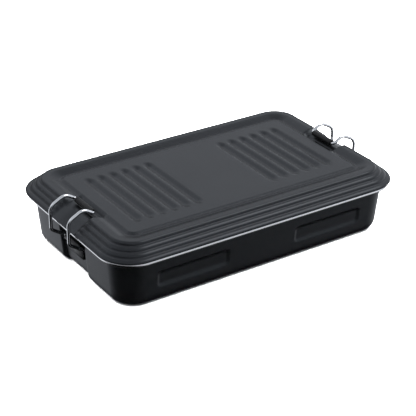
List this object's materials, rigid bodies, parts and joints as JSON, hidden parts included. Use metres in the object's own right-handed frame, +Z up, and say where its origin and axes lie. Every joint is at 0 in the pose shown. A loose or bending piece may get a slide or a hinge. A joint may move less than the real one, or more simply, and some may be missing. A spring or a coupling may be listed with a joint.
{
  "type": "lunch box",
  "caption": "Low rectangular dark metal lunch box with a ribbed lift-off lid, a bare metal rim bead and a wire bail clip at each short end.",
  "frame": {"origin": "centre of the underside, on the surface that the box stands on", "axes": "+X along the length, +Y across the width, +Z up"},
  "size_m": [0.197, 0.12, 0.0436],
  "materials": {
    "dark_shell": "dark anthracite hard-anodised satin",
    "bare_bead": "bare turned aluminium, bright",
    "bail_wire": "polished spring steel",
    "grip_sleeve": "dark satin",
    "hinge_bracket": "black satin",
    "seal": "matt silicone"
  },
  "bodies": {
    "tray_body": {"tray": "dark_shell", "rim_bead": "bare_bead", "left_hinge_bracket": "hinge_bracket", "right_hinge_bracket": "hinge_bracket"},
    "lid_body": {"lid": "dark_shell", "lid_seal": "seal"},
    "left_bail": {"left_bail_wire": "bail_wire", "left_grip_sleeve": "grip_sleeve"},
    "right_bail": {"right_bail_wire": "bail_wire", "right_grip_sleeve": "grip_sleeve"}
  },
  "joints": [
    {"name": "lid_lift", "type": "slide", "parent": "tray_body", "child": "lid_body", "axis": [0, 0, 1], "range_m": [0, 0.017]},
    {"name": "left_bail_swing", "type": "hinge", "parent": "tray_body", "child": "left_bail", "pos_m": [-0.0892, 0, 0.019], "axis": [0, -1, 0], "range_deg": [0, 122]},
    {"name": "right_bail_swing", "type": "hinge", "parent": "tray_body", "child": "right_bail", "pos_m": [0.0892, 0, 0.019], "axis": [0, 1, 0], "range_deg": [0, 122]}
  ],
  "couplings": [
    {"joint": "left_bail_swing", "follows": "lid_lift", "rad_per_m": 125},
    {"joint": "right_bail_swing", "follows": "lid_lift", "rad_per_m": 125}
  ]
}
